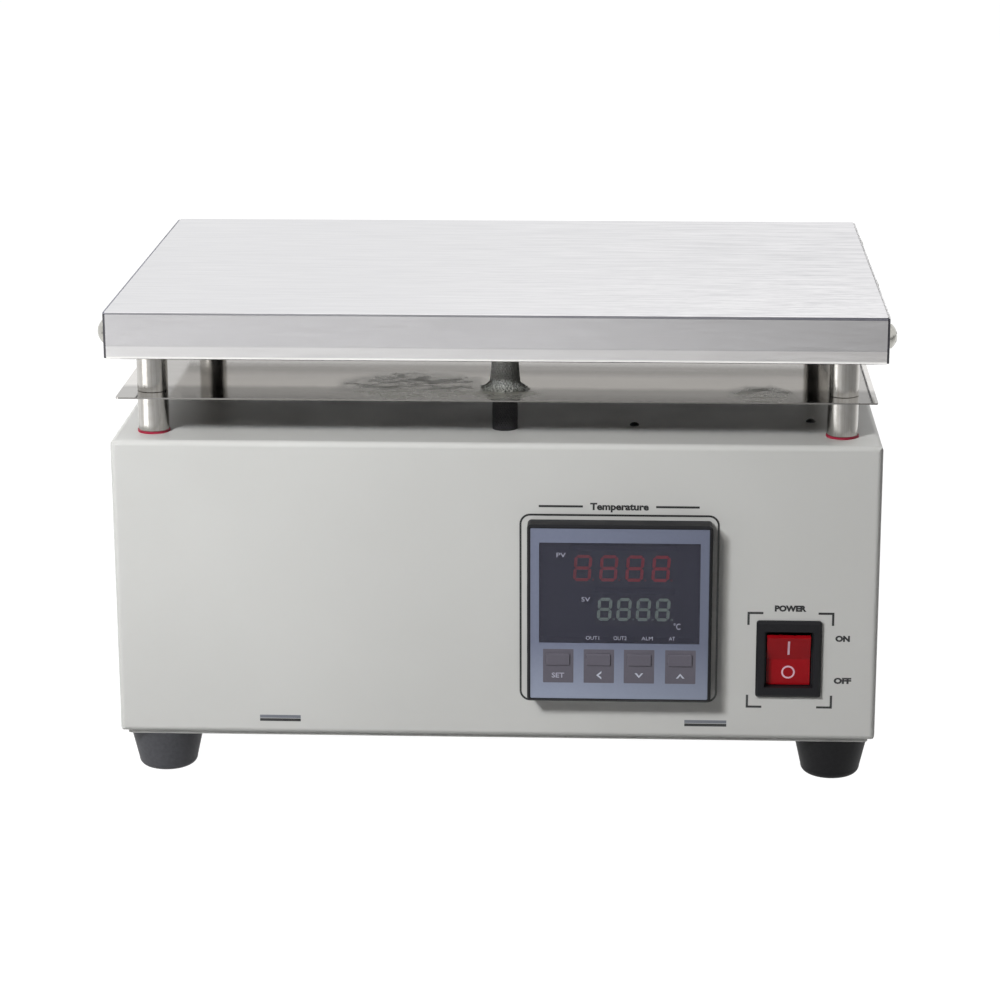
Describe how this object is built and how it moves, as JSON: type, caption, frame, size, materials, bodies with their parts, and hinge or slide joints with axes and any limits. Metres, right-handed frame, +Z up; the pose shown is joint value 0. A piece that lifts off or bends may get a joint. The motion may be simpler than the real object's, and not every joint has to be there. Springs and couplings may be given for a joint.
{
  "type": "heating platform",
  "caption": "Bench heating platform: a thick aluminium plate on insulated posts over a sheet steel case with a panel temperature controller and a rocker switch.",
  "frame": {"origin": "centre of the footprint, on the surface that the feet stand on", "axes": "+X to the right seen from the front, +Y from the front panel to the back, +Z up"},
  "size_m": [0.3088, 0.2134, 0.19],
  "materials": {
    "case_paint": "smooth semi-gloss light warm grey enamel",
    "bright_steel": "bright plated steel",
    "black_steel": "black oxide steel",
    "red_silicone": "smooth red silicone",
    "polished_steel": "polished tube with fine lengthwise drawing marks",
    "mirror_steel": "bright annealed sheet, almost a mirror",
    "machined_aluminium": "brushed along its length",
    "dark_fibre": "dark insulating sheet",
    "heater_steel": "heat-tinted steel sheath",
    "glass_braid": "braided glass fibre",
    "grey_braid": "coarse grey braided glass fibre",
    "black_plastic": "fine-textured black plastic",
    "blue_grey_film": "satin printed film",
    "smoked_window": "smoked clear window",
    "digit_bars": "unlit red bars above, unlit green bars below",
    "key_rubber": "soft brown-grey pads",
    "circuit_board": "green solder mask",
    "brass_plated": "plated brass",
    "red_plastic": "glossy red plastic",
    "fuse_glass": "clear tube with plated caps",
    "white_plastic": "off-white plastic",
    "foot_rubber": "fine-textured black rubber"
  },
  "bodies": {
    "platform": {"case_shell": "case_paint", "bottom_plate": "case_paint", "bottom_screws": "bright_steel", "foot_front_left": "foot_rubber", "foot_front_right": "foot_rubber", "foot_rear_left": "foot_rubber", "foot_rear_right": "foot_rubber", "foot_washers": "bright_steel", "foot_screws": "bright_steel", "foot_nuts": "bright_steel", "fixing_screws": "bright_steel", "top_screws": "black_steel", "top_nuts": "bright_steel", "insulating_washers": "red_silicone", "lower_sleeves": "polished_steel", "heat_shield": "mirror_steel", "upper_sleeves": "polished_steel", "post_studs": "bright_steel", "post_nuts": "bright_steel", "heating_plate": "machined_aluminium", "end_cover_left": "dark_fibre", "end_cover_right": "dark_fibre", "end_cover_screws": "bright_steel", "heater_cartridges": "heater_steel", "thermocouple_probe": "heater_steel", "heater_leads": "glass_braid", "lead_sleeve_upper": "grey_braid", "lead_sleeve_lower": "grey_braid", "meter_bezel": "black_plastic", "meter_overlay": "blue_grey_film", "meter_window": "smoked_window", "pv_display": "black_plastic", "sv_display": "black_plastic", "digit_segments": "digit_bars", "meter_housing": "black_plastic", "meter_front_board": "circuit_board", "meter_main_board": "circuit_board", "meter_terminals": "black_plastic", "meter_terminal_screws": "brass_plated", "meter_clamps": "black_plastic", "meter_clamp_screws": "bright_steel", "switch_body": "black_plastic", "switch_terminals": "brass_plated", "inlet_body": "black_plastic", "inlet_pins": "brass_plated", "inlet_screws": "bright_steel", "relay_heatsink": "machined_aluminium", "solid_state_relay": "white_plastic", "relay_screws": "bright_steel", "terminal_block": "white_plastic", "earth_stud": "bright_steel", "earth_nuts": "brass_plated"},
    "rocker": {"rocker": "red_plastic"},
    "set_key": {"key_set": "key_rubber"},
    "shift_key": {"key_shift": "key_rubber"},
    "down_key": {"key_down": "key_rubber"},
    "up_key": {"key_up": "key_rubber"},
    "fuse_tray": {"fuse_drawer": "black_plastic", "fuse": "fuse_glass"}
  },
  "joints": [
    {"name": "rocker_tilt", "type": "hinge", "parent": "platform", "child": "rocker", "pos_m": [0.1153, -0.09305, 0.0528], "axis": [-1, 0, 0], "range_deg": [0, 20]},
    {"name": "set_key_press", "type": "slide", "parent": "platform", "child": "set_key", "axis": [0, 1, 0], "range_m": [0, 0.0005], "stiffness_N_per_m": 400},
    {"name": "shift_key_press", "type": "slide", "parent": "platform", "child": "shift_key", "axis": [0, 1, 0], "range_m": [0, 0.0005], "stiffness_N_per_m": 400},
    {"name": "down_key_press", "type": "slide", "parent": "platform", "child": "down_key", "axis": [0, 1, 0], "range_m": [0, 0.0005], "stiffness_N_per_m": 400},
    {"name": "up_key_press", "type": "slide", "parent": "platform", "child": "up_key", "axis": [0, 1, 0], "range_m": [0, 0.0005], "stiffness_N_per_m": 400},
    {"name": "fuse_tray_slide", "type": "slide", "parent": "platform", "child": "fuse_tray", "axis": [0, 1, 0], "range_m": [0, 0.014]}
  ]
}
